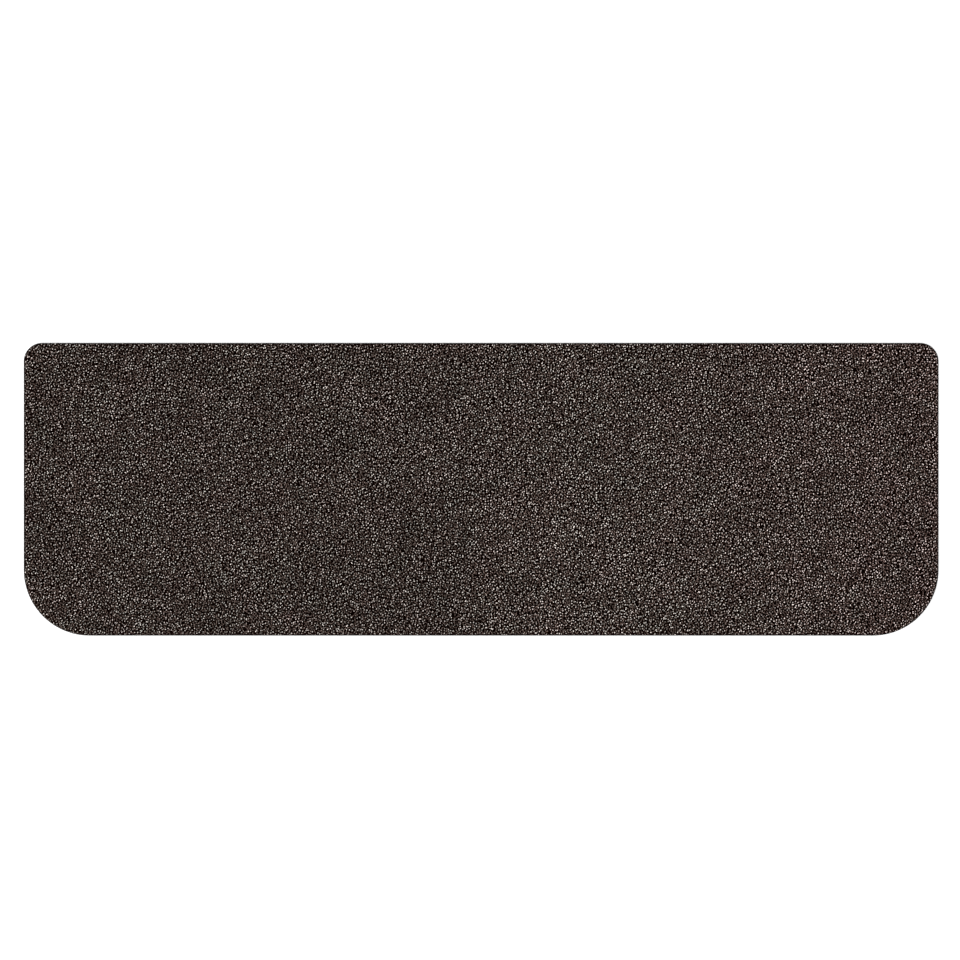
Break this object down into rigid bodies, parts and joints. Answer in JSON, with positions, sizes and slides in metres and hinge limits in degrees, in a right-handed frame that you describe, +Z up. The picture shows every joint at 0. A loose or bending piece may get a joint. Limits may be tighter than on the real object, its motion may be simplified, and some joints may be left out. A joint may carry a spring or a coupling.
{
  "type": "anti slip stair tread mat",
  "caption": "Flat carpet-faced stair tread mat with large corner radii at the step's nose, small ones at the riser, and a thin rubber backing with moulded grip studs.",
  "frame": {"origin": "on the floor under the middle of the mat, in the plane of the grip studs' feet", "axes": "+X along the step, +Y from the step's nose to its riser, +Z up out of the pile"},
  "size_m": [0.75, 0.24, 0.007],
  "materials": {
    "pile": "short twisted cut pile, dark brown with beige flecks",
    "rubber": "matte black moulded rubber"
  },
  "bodies": {
    "root": {"carpet_face": "pile", "rubber_backing": "rubber"}
  },
  "joints": []
}
